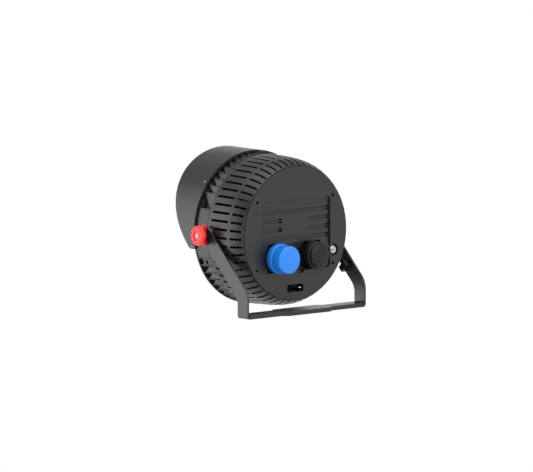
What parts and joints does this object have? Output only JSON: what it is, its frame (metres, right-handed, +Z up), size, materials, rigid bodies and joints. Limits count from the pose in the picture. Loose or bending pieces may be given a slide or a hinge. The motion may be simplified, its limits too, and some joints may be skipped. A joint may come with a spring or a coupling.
{
  "type": "par can light",
  "caption": "Squat drum-shaped LED par can stage light with a half glare shade, slotted shroud and sealed rear connectors, tilting in a floor or truss yoke.",
  "frame": {"origin": "centre of the clamp-bolt hole on the underside of the yoke's base pad", "axes": "+Z up from the base to the drum, +Y along the beam at rest, +X to the right seen from behind"},
  "size_m": [0.2416, 0.1784, 0.2115],
  "materials": {
    "cover_paint": "satin powder coat",
    "shroud_paint": "satin powder coat",
    "shade_paint": "fine matt powder coat",
    "yoke_paint": "satin powder coat",
    "black_plastic": "moulded",
    "blue_plastic": "soft satin",
    "red_plastic": "satin moulded",
    "seal_rubber": "matt",
    "front_glass": "clear",
    "lens_plastic": "clear moulded",
    "board_metal": "plain",
    "circuit_board": "solder mask",
    "bright_steel": "zinc plated",
    "dark_steel": "black oxide",
    "nylon": "natural"
  },
  "bodies": {
    "yoke": {"yoke_bracket": "yoke_paint", "yoke_base_plate": "yoke_paint", "stop_block": "black_plastic", "stop_screw": "bright_steel", "tilt_washer_left": "nylon", "tilt_washer_right": "nylon"},
    "head": {"rear_cover": "cover_paint", "rear_gasket": "seal_rubber", "shroud": "shroud_paint", "heat_sink": "shroud_paint", "front_ring": "shroud_paint", "shade": "shade_paint", "front_glass": "front_glass", "glass_gasket": "seal_rubber", "lens_plate": "lens_plastic", "led_board": "board_metal", "driver_tray": "board_metal", "driver_board": "circuit_board", "fan_frame": "black_plastic", "power_socket": "black_plastic", "data_socket": "black_plastic", "vent_bolt": "bright_steel", "cover_screw_1": "dark_steel", "cover_screw_2": "dark_steel", "cover_screw_3": "dark_steel", "cover_screw_4": "dark_steel", "shade_screw_1": "bright_steel", "shade_screw_2": "bright_steel", "shade_screw_3": "bright_steel", "shade_screw_4": "bright_steel", "shade_screw_5": "bright_steel", "board_spacer_1": "nylon", "board_spacer_2": "nylon", "board_spacer_3": "nylon", "board_spacer_4": "nylon", "fan_screw_1": "bright_steel", "fan_screw_2": "bright_steel", "fan_screw_3": "bright_steel", "fan_screw_4": "bright_steel", "pivot_boss_left": "dark_steel", "pivot_boss_right": "dark_steel"},
    "knob_left": {"tilt_knob_left": "red_plastic", "knob_stud_left": "bright_steel", "knob_screw_left": "bright_steel"},
    "knob_right": {"tilt_knob_right": "red_plastic", "knob_stud_right": "bright_steel", "knob_screw_right": "bright_steel"},
    "power_cap": {"power_cap": "blue_plastic"},
    "data_cap": {"data_cap": "black_plastic"},
    "fan_rotor": {"fan_rotor": "black_plastic"}
  },
  "joints": [
    {"name": "tilt", "type": "hinge", "parent": "yoke", "child": "head", "pos_m": [0, 0.0755, 0.106], "axis": [1, 0, 0], "range_deg": [-70, 90]},
    {"name": "knob_left_turn", "type": "hinge", "parent": "yoke", "child": "knob_left", "pos_m": [-0.12, 0.0755, 0.106], "axis": [-1, 0, 0], "continuous": true},
    {"name": "knob_right_turn", "type": "hinge", "parent": "yoke", "child": "knob_right", "pos_m": [0.12, 0.0755, 0.106], "axis": [1, 0, 0], "continuous": true},
    {"name": "power_cap_pull", "type": "slide", "parent": "head", "child": "power_cap", "axis": [0, -1, 0], "range_m": [0, 0.03]},
    {"name": "data_cap_pull", "type": "slide", "parent": "head", "child": "data_cap", "axis": [0, -1, 0], "range_m": [0, 0.03]},
    {"name": "fan_spin", "type": "hinge", "parent": "head", "child": "fan_rotor", "pos_m": [0, 0.0575, 0.106], "axis": [0, 1, 0], "continuous": true}
  ]
}
